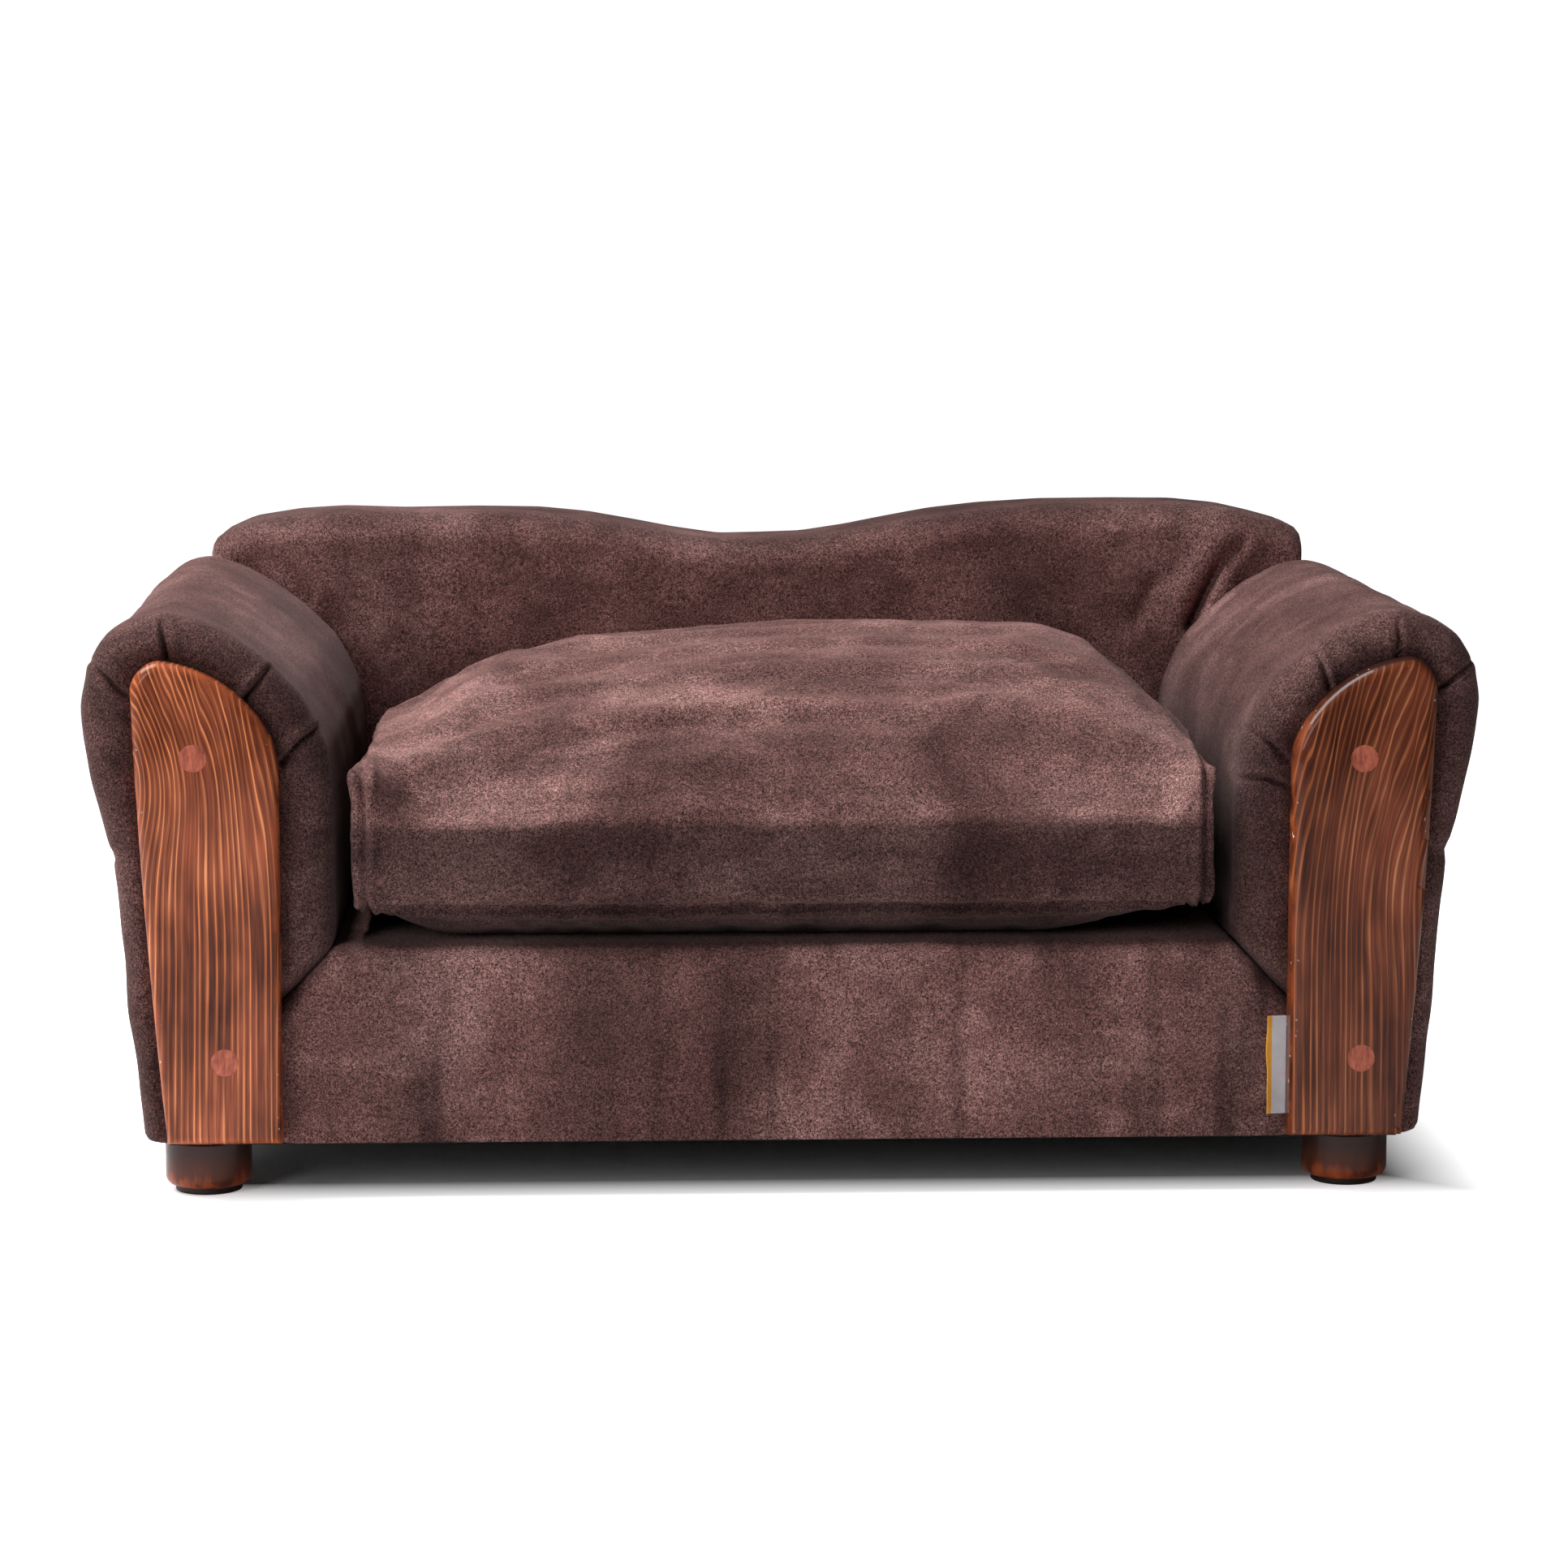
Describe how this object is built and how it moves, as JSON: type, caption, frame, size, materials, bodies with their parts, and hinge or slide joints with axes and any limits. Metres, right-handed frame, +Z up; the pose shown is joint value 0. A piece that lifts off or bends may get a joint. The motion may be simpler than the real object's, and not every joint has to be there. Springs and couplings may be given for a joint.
{
  "type": "pet sofa bed",
  "caption": "Upholstered pet sofa with rolled arms faced in stained wood, a wavy padded back, round wood feet and a loose boxed cushion that lifts out.",
  "frame": {"origin": "on the floor, under the centre of the sofa's box", "axes": "+X to the right as seen from the front, -Y is the front, +Z is up"},
  "size_m": [0.638, 0.4, 0.302],
  "materials": {
    "suede": "matte",
    "facing_wood": "satin",
    "plug_wood": "satin",
    "foot_wood": "gloss",
    "frame_wood": "matte",
    "hardboard": "matte",
    "foam": "matte",
    "steel": "satin",
    "glide_plastic": "matte",
    "dust_cloth": "matte",
    "tag_cloth": "matte",
    "zip_cloth": "matte",
    "zip_metal": "satin"
  },
  "bodies": {
    "sofa": {"arm_bolts": "steel", "arm_bottom_rail_left": "frame_wood", "arm_bottom_rail_right": "frame_wood", "arm_cover_left": "suede", "arm_cover_right": "suede", "arm_foam_left": "foam", "arm_foam_right": "foam", "arm_front_former_left": "frame_wood", "arm_front_former_right": "frame_wood", "arm_inner_panel_left": "hardboard", "arm_inner_panel_right": "hardboard", "arm_outer_panel_left": "hardboard", "arm_outer_panel_right": "hardboard", "arm_rear_former_left": "frame_wood", "arm_rear_former_right": "frame_wood", "arm_roll_board_left": "hardboard", "arm_roll_board_right": "hardboard", "arm_top_rail_left": "frame_wood", "arm_top_rail_right": "frame_wood", "back_bolts": "steel", "back_bottom_rail": "frame_wood", "back_cover": "suede", "back_front_foam": "foam", "back_panel": "frame_wood", "back_post_left": "frame_wood", "back_post_right": "frame_wood", "back_top_foam": "foam", "back_top_rail": "frame_wood", "base_centre_slat": "frame_wood", "base_cover": "suede", "base_deck": "frame_wood", "base_end_rail_left": "frame_wood", "base_end_rail_right": "frame_wood", "base_front_rail": "frame_wood", "base_rear_rail": "frame_wood", "base_seat_foam": "foam", "dust_cover": "dust_cloth", "dust_cover_staples": "steel", "facing_board_left": "facing_wood", "facing_board_right": "facing_wood", "facing_plugs_left": "plug_wood", "facing_plugs_right": "plug_wood", "facing_screws_left": "steel", "facing_screws_right": "steel", "foot_front_left": "foot_wood", "foot_front_right": "foot_wood", "foot_hanger_bolts": "steel", "foot_inserts": "steel", "foot_rear_left": "foot_wood", "foot_rear_right": "foot_wood", "glide_front_left": "glide_plastic", "glide_front_right": "glide_plastic", "glide_rear_left": "glide_plastic", "glide_rear_right": "glide_plastic", "side_tag": "tag_cloth"},
    "cushion": {"cushion_cover": "suede", "cushion_core": "foam", "cushion_zip_tape": "zip_cloth"},
    "zip_slider": {"zip_slider": "zip_metal"},
    "zip_pull": {"zip_pull": "zip_metal"}
  },
  "joints": [
    {"name": "cushion_lift", "type": "slide", "parent": "sofa", "child": "cushion", "axis": [0, 0, 1], "range_m": [0, 0.21]},
    {"name": "zip_slide", "type": "slide", "parent": "cushion", "child": "zip_slider", "axis": [-1, 0, 0], "range_m": [0, 0.33]},
    {"name": "zip_pull_swing", "type": "hinge", "parent": "zip_slider", "child": "zip_pull", "pos_m": [0.17, 0.10665, 0.177], "axis": [0, 0, -1], "range_deg": [0, 180]}
  ]
}
